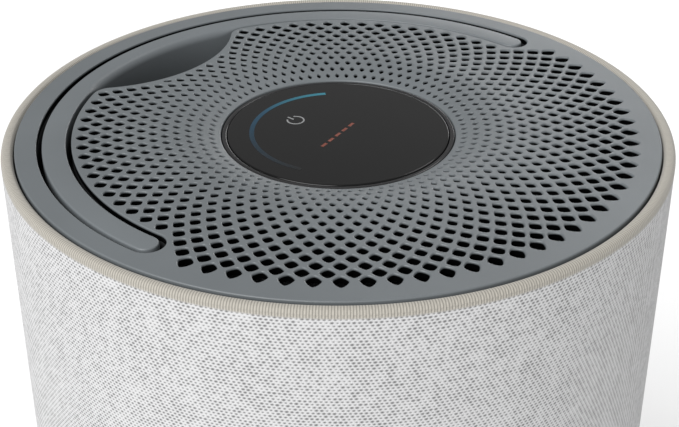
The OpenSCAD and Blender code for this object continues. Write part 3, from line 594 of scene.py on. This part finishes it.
class Finish:
    """A node material built round one surface shader."""

    def __init__(self, name):
        self.material = bpy.data.materials.new(name)
        self.material.use_nodes = True
        self.tree = self.material.node_tree
        self.shader = self.tree.nodes["Principled BSDF"]

    def add(self, kind, **values):
        """A node with the given settings, by attribute or by socket name."""
        node = self.tree.nodes.new(kind)
        for key, value in values.items():
            if hasattr(node, key):
                setattr(node, key, value)
            else:
                node.inputs[key.replace("_", " ")].default_value = value
        return node

    def link(self, source, target):
        self.tree.links.new(source, target)

    def place(self):
        """The place on the object, in its own frame."""
        return self.add("ShaderNodeTexCoord").outputs["Object"]

    def split(self, place):
        """The three coordinates of a place."""
        node = self.add("ShaderNodeSeparateXYZ")
        self.link(place, node.inputs["Vector"])
        return node.outputs["X"], node.outputs["Y"], node.outputs["Z"]

    def noise(self, scale, detail=3.0, place=None):
        node = self.add("ShaderNodeTexNoise", Scale=scale, Detail=detail)
        self.link(place or self.place(), node.inputs["Vector"])
        return node.outputs["Fac"]

    def ramp(self, source, *stops):
        """Maps a number to colours by (position, colour) stops."""
        node = self.add("ShaderNodeValToRGB")
        points = node.color_ramp.elements
        while len(points) < len(stops):
            points.new(0.5)
        for point, (where, colour) in zip(points, stops):
            point.position = where
            point.color = (*colour, 1)
        self.link(source, node.inputs["Fac"])
        return node.outputs["Color"]

    def span(self, source, low, high, start=0.0, end=1.0):
        """Maps start..end, held at its ends, onto a range of numbers."""
        node = self.add("ShaderNodeMapRange", From_Min=start, From_Max=end,
                        To_Min=low, To_Max=high)
        self.link(source, node.inputs["Value"])
        return node.outputs["Result"]

    def maths(self, operation, a, b=None):
        node = self.add("ShaderNodeMath", operation=operation)
        for socket, value in zip(node.inputs, (a, b)):
            if isinstance(value, (int, float)):
                socket.default_value = value
            elif value is not None:
                self.link(value, socket)
        return node.outputs[0]

    def mix(self, share, first, second, blend="MIX"):
        """Blends two colours by a number or by a socket."""
        node = self.add("ShaderNodeMix", data_type="RGBA", blend_type=blend)
        if isinstance(share, float):
            node.inputs[MIX_SHARE].default_value = share
        else:
            self.link(share, node.inputs[MIX_SHARE])
        self.link(first, node.inputs[MIX_FIRST])
        self.link(second, node.inputs[MIX_SECOND])
        return node.outputs[MIX_RESULT]

    def colour(self, source):
        self.link(source, self.shader.inputs["Base Color"])

    def rough(self, source):
        self.link(source, self.shader.inputs["Roughness"])

    def bump(self, source, strength, distance):
        node = self.add("ShaderNodeBump", Strength=strength, Distance=distance)
        self.link(source, node.inputs["Height"])
        self.link(node.outputs["Normal"], self.shader.inputs["Normal"])

    def set(self, **values):
        for key, value in values.items():
            self.shader.inputs[key.replace("_", " ")].default_value = value


def shade(colour, factor):
    """A lighter or darker version of a colour."""
    return tuple(min(c * factor, 1) for c in colour)


def paint_hole_shade(finish, surface):
    """Paints shade on a surface down the walls of its openings, and makes it dull there."""
    depth = finish.add("ShaderNodeAttribute", attribute_name="depth").outputs["Fac"]
    # Painted shade: the colour darkens with depth down the hole walls, and the specular is lowered
    # there too.
    hole_shade_ramp = finish.ramp(depth, (HOLE_SHADE_FROM, HOLE_UNSHADED), (HOLE_SHADE_TO, HOLE_PAINTED_SHADE))
    finish.link(finish.span(hole_shade_ramp, 0.02, 0.5), finish.shader.inputs["Specular IOR Level"])
    return finish.mix(1.0, surface, hole_shade_ramp, "MULTIPLY")


def moulded(name, colour, rough=0.5, grain=1.0, spread=0.06, shade_holes=False):
    """Moulded plastic with fine grain, slight mottling and a little uneven sheen, and painted shade
    down its holes where asked.
    """
    finish = Finish(name)
    surface = finish.ramp(finish.noise(18, 4), (0.3, shade(colour, 1 - spread)),
                          (0.7, shade(colour, 1 + spread)))
    finish.colour(paint_hole_shade(finish, surface) if shade_holes else surface)
    finish.rough(finish.span(finish.noise(60, 2), rough - 0.05, rough + 0.06))
    finish.bump(finish.noise(2600, 2), 0.10 * grain, 0.00012)
    return finish.material


def metal(name, colour, rough=0.3, brushed=True):
    """Bare metal, fine-grained where it is brushed."""
    finish = Finish(name)
    finish.colour(finish.ramp(finish.noise(45, 4), (0.3, shade(colour, 0.9)),
                              (0.7, shade(colour, 1.05))))
    finish.rough(finish.span(finish.noise(500 if brushed else 90, 3), rough - 0.08, rough + 0.1))
    finish.set(Metallic=1.0)
    finish.bump(finish.noise(1400, 2), 0.08, 0.0001)
    return finish.material


def soft_foam(name, colour, scale=900, depth=0.5):
    """A dull surface of small cells: foam, paper, carbon grains or a coarse weave."""
    finish = Finish(name)
    cells = finish.add("ShaderNodeTexVoronoi", Scale=scale)
    finish.link(finish.place(), cells.inputs["Vector"])
    finish.colour(finish.ramp(cells.outputs["Distance"], (0.1, shade(colour, 1.1)),
                              (0.8, shade(colour, 0.7))))
    finish.rough(finish.span(finish.noise(80), 0.85, 0.95))
    finish.bump(cells.outputs["Distance"], depth, 0.0006)
    return finish.material


def circuit(name):
    """Green board with paler traces."""
    finish = Finish(name)
    traces = finish.add("ShaderNodeTexBrick", Scale=190.0, Mortar_Size=0.06,
                        Color1=(0.015, 0.09, 0.04, 1), Color2=(0.02, 0.11, 0.05, 1),
                        Mortar=(0.05, 0.2, 0.09, 1))
    finish.link(finish.place(), traces.inputs["Vector"])
    finish.colour(traces.outputs["Color"])
    finish.rough(finish.span(finish.noise(70), 0.3, 0.45))
    return finish.material


def layered(name, colour, pitch):
    """Thin stacked sheets, as lines across the height."""
    finish = Finish(name)
    height = finish.split(finish.place())[2]
    wave = finish.maths("FRACT", finish.maths("MULTIPLY", height, 1 / pitch))
    finish.colour(finish.ramp(wave, (0.0, shade(colour, 0.55)), (0.25, colour)))
    finish.rough(finish.span(finish.noise(90), 0.4, 0.6))
    finish.set(Metallic=0.7)
    finish.bump(wave, 0.3, 0.0002)
    return finish.material


def weave_openings(finish, turn, height):
    """How far a place is from the middle of the nearest opening of the weave, in
    openings, with each opening a little larger or smaller than the next."""
    lean = finish.maths("MULTIPLY", height, WEAVE_LEAN)
    u = finish.maths("SUBTRACT", finish.maths("MULTIPLY", turn, WEAVE_COUNT / (2 * math.pi)), lean)
    v = finish.maths("MULTIPLY", height, 1 / WEAVE_PITCH)
    row = finish.maths("FLOOR", v)
    stagger = finish.maths("MULTIPLY", finish.maths("MODULO", row, 2), 0.5)
    shifted = finish.maths("ADD", u, stagger)
    cell_u = finish.maths("SUBTRACT", finish.maths("FRACT", shifted), 0.5)
    cell_v = finish.maths("SUBTRACT", finish.maths("FRACT", v), 0.5)
    across = finish.maths("MULTIPLY", cell_u, 1.05)
    squares = finish.maths("ADD", finish.maths("MULTIPLY", across, across),
                           finish.maths("MULTIPLY", cell_v, cell_v))
    cell = finish.add("ShaderNodeCombineXYZ")
    finish.link(finish.maths("FLOOR", shifted), cell.inputs["X"])
    finish.link(row, cell.inputs["Y"])
    chance = finish.add("ShaderNodeTexWhiteNoise", noise_dimensions="2D")
    finish.link(cell.outputs["Vector"], chance.inputs["Vector"])
    uneven = finish.span(chance.outputs["Value"], -0.09, 0.09)
    return finish.maths("SQRT", squares), uneven


def hem_ribs(finish, turn):
    """The ribs of the edge band, side by side round the rim."""
    rib = finish.maths("FRACT", finish.maths("MULTIPLY", turn, RIB_COUNT / (2 * math.pi)))
    return finish.ramp(rib, (0.0, shade(HEM_COLOUR, 0.45)), (0.4, HEM_COLOUR),
                       (0.7, HEM_COLOUR), (1.0, shade(HEM_COLOUR, 0.5)))


def woven(name):
    """Woven sleeve: staggered dark openings of uneven strength between light threads,
    and a ribbed edge band over the rolled top."""
    finish = Finish(name)
    place = finish.place()
    x, y, z = finish.split(place)
    turn = finish.maths("ARCTAN2", y, x)
    reach, uneven = weave_openings(finish, turn, z)
    patchy = finish.span(finish.noise(70, 2, place), -0.07, 0.07)
    hole = finish.maths("ADD", reach, finish.maths("ADD", uneven, patchy))
    threads = finish.ramp(hole, (0.10, shade(FABRIC_LIGHT, 0.26)),
                          (0.27, shade(FABRIC_LIGHT, 0.62)), (0.46, FABRIC_LIGHT))
    band = finish.span(z, 0, 1, HEM_FADE_FROM, HEM_FADE_TO)
    finish.colour(finish.mix(band, threads, hem_ribs(finish, turn)))
    finish.rough(finish.span(finish.noise(90, 2, place), 0.82, 0.95))
    finish.bump(hole, 0.6, 0.0006)
    finish.set(Sheen_Weight=0.2, Sheen_Roughness=0.5)
    return finish.material


def glass_black(name, colour, rough):
    """Black glass, with a painted reflection that makes it a little lighter to one side."""
    finish = Finish(name)
    x = finish.split(finish.place())[0]
    # Painted reflection: the glass colour rises from dark to lighter across X.
    painted_reflection = finish.span(x, 0, 1, -LENS_R, LENS_R)
    finish.colour(finish.ramp(painted_reflection, (0.0, shade(colour, 0.8)), (1.0, shade(colour, 1.25))))
    finish.rough(finish.span(finish.noise(25, 3), rough - 0.02, rough + 0.03))
    finish.set(Specular_IOR_Level=0.30)
    return finish.material


def lit_arc(name):
    """The status light: brightest at its start, dying away along its length."""
    finish = Finish(name)
    place = finish.place()
    x, y, _ = finish.split(place)
    back_x, back_y = finish.maths("MULTIPLY", x, -1), finish.maths("MULTIPLY", y, -1)
    turn = finish.maths("ADD", finish.maths("ARCTAN2", back_y, back_x), math.pi)
    share = finish.span(turn, 0, 1, math.radians(ARC_START), math.radians(ARC_END))
    glow = finish.ramp(share, (0.0, ARC_BRIGHT), (0.35, ARC_COLOUR),
                       (0.7, shade(ARC_COLOUR, 0.3)), (1.0, ARC_OFF))
    finish.colour(finish.ramp(finish.noise(300, 2, place), (0.3, (0.005, 0.006, 0.007)),
                              (0.7, (0.008, 0.009, 0.010))))
    finish.link(glow, finish.shader.inputs["Emission Color"])
    finish.set(Emission_Strength=1.0, Roughness=0.3, Specular_IOR_Level=0.3)
    return finish.material


def printed(name, colour, glow=0.0):
    """Printed ink or a lamp's resin, which may glow a little."""
    finish = Finish(name)
    mark = finish.ramp(finish.noise(500, 2), (0.3, shade(colour, 0.9)), (0.7, colour))
    finish.colour(mark)
    finish.link(mark, finish.shader.inputs["Emission Color"])
    finish.set(Roughness=0.45, Emission_Strength=glow)
    return finish.material


# ---------------------------------------------------------------- finishes of the CAD nodes
def make_finishes():
    """One finish for each material slot of the CAD frame."""
    return {
        # The cover's finish paints shade down the walls of its air holes.
        "cover_plastic": moulded("satin_cover", COVER_COLOUR, 0.42, shade_holes=True),
        "handle_plastic": moulded("satin_handle", shade(COVER_COLOUR, 1.2), 0.44),
        "fabric": woven("knit"),
        "display_glass": glass_black("tinted_glass", (0.006, 0.006, 0.006), 0.12),
        "bezel_plastic": moulded("gloss_ring", (0.012, 0.012, 0.013), 0.16, 0.2),
        "light_guide": lit_arc("lit_guide"),
        "inner_plastic": moulded("inner_moulding", (0.045, 0.047, 0.05), 0.6),
        "black_plastic": moulded("black_moulding", (0.016, 0.016, 0.017), 0.55),
        "shell_plastic": moulded("shell_moulding", (0.30, 0.30, 0.30), 0.55),
        "fan_plastic": moulded("fan_moulding", (0.50, 0.51, 0.52), 0.4),
        "steel": metal("zinc_steel", (0.60, 0.60, 0.62), 0.3),
        "motor_steel": metal("pressed_steel", (0.50, 0.50, 0.51), 0.36),
        "laminations": layered("core_sheets", (0.30, 0.29, 0.28), 0.5 * MM),
        "copper": layered("wound_wire", (0.72, 0.30, 0.14), 0.6 * MM),
        "magnet": metal("sintered_magnet", (0.14, 0.14, 0.15), 0.5, False),
        "circuit_board": circuit("board_green"),
        "components": moulded("part_cases", (0.025, 0.025, 0.028), 0.4),
        "emitter": printed("lamp_resin", (0.75, 0.72, 0.62)),
        "rubber": moulded("foot_rubber", (0.02, 0.02, 0.02), 0.8, 2.0),
        "foam": soft_foam("seal_foam", (0.05, 0.05, 0.055)),
        "paper": soft_foam("filter_paper", (0.80, 0.79, 0.74), 1500, 0.2),
        "carbon": soft_foam("carbon_grains", (0.02, 0.02, 0.02), 420, 0.9),
        "wire": moulded("wire_jacket", (0.35, 0.03, 0.025), 0.45),
        "tab": soft_foam("woven_tab", (0.10, 0.32, 0.45), 1400, 0.3),
    }


def dress_frame(finishes):
    """Gives every CAD node the finish of its slot."""
    for part in frame["record"]["subparts"]:
        obj = frame["nodes"][part["node"]]
        obj.data.materials.clear()
        obj.data.materials.append(finishes[part["material_slot"]])
        obj.data.shade_smooth()
        sharpen(obj, 32)


# ---------------------------------------------------------------- studio
FLOOR_HALF = 30.0
WORLD_STRENGTH = 0.36
KEY_DIRECTION = (-0.80, -0.06, 0.72)
CAMERA_PLACE = (-0.4534, -0.3812, 0.8406)
CAMERA_TILT, CAMERA_TURN = 59.39, -50
CAMERA_LENS, CAMERA_SENSOR = 74.55, 36


def build_floor():
    """A plain pale floor, far larger than the view."""
    finish = Finish("studio_floor")
    finish.colour(finish.ramp(finish.noise(3, 2), (0.3, (0.90, 0.90, 0.90)),
                              (0.7, (0.92, 0.92, 0.92))))
    finish.set(Roughness=0.9, Specular_IOR_Level=0.1)
    half = FLOOR_HALF
    corners = [(-half, -half, 0), (half, -half, 0), (half, half, 0), (-half, half, 0)]
    mesh = bpy.data.meshes.new("floor")
    mesh.from_pydata(corners, [], [(0, 1, 2, 3)])
    mesh.materials.append(finish.material)
    floor = bpy.data.objects.new("floor", mesh)
    bpy.context.scene.collection.objects.link(floor)


def aim(obj, target):
    """Turns a lamp towards a place."""
    obj.rotation_euler = (Vector(target) - obj.location).to_track_quat("-Z", "Y").to_euler()


def add_lamp(name, kind, place, target):
    """A lamp aimed at a place; gives its data for further settings."""
    data = bpy.data.lights.new(name, kind)
    lamp = bpy.data.objects.new(name, data)
    bpy.context.scene.collection.objects.link(lamp)
    lamp.location = place
    aim(lamp, target)
    return data


def area_light(name, place, size, watts):
    """A soft rectangular lamp aimed at the top of the body."""
    data = add_lamp(name, "AREA", place, (0, 0, 0.5))
    data.shape = "RECTANGLE"
    data.size, data.size_y = size
    data.energy = watts


def sun_light(name, direction, strength, spread):
    """A broad soft light that reaches the whole floor evenly."""
    data = add_lamp(name, "SUN", Vector(direction) * 3, (0, 0, 0))
    data.energy = strength
    data.angle = math.radians(spread)


def build_studio():
    """Floor, soft white surroundings, a broad key light and two small edge lights."""
    build_floor()
    world = bpy.data.worlds.new("studio")
    world.use_nodes = True
    background = world.node_tree.nodes["Background"]
    background.inputs["Color"].default_value = (1, 1, 1, 1)
    background.inputs["Strength"].default_value = WORLD_STRENGTH
    bpy.context.scene.world = world
    bpy.context.scene.view_settings.view_transform = "Standard"
    sun_light("key", KEY_DIRECTION, 3.3, 50)
    area_light("back_right", (2.2, 0.9, 0.95), (1.2, 0.5), 8)
    area_light("right_edge", (1.6, 0.3, 2.2), (0.5, 0.5), 5)


def build_camera():
    """The camera at the photograph's viewing angle."""
    data = bpy.data.cameras.new("camera")
    data.sensor_width = CAMERA_SENSOR
    data.lens = CAMERA_LENS
    camera = bpy.data.objects.new("camera", data)
    bpy.context.scene.collection.objects.link(camera)
    camera.location = CAMERA_PLACE
    camera.rotation_euler = (math.radians(CAMERA_TILT), 0, math.radians(CAMERA_TURN))
    bpy.context.scene.camera = camera


# ---------------------------------------------------------------- the whole picture
def build_all():
    """Dresses the CAD frame, adds the visible pieces, and sets the studio."""
    finishes = make_finishes()
    dress_frame(finishes)
    build_cover(finishes["cover_plastic"])
    build_handle(finishes["handle_plastic"])
    build_sleeve(finishes["fabric"])
    build_lens(finishes["display_glass"])
    build_bezel(finishes["bezel_plastic"])
    build_marks(finishes["light_guide"], printed("print_white", (0.26, 0.265, 0.27), 0.05),
                printed("print_amber", (0.17, 0.035, 0.018), 0.06))
    build_studio()
    build_camera()


build_all()
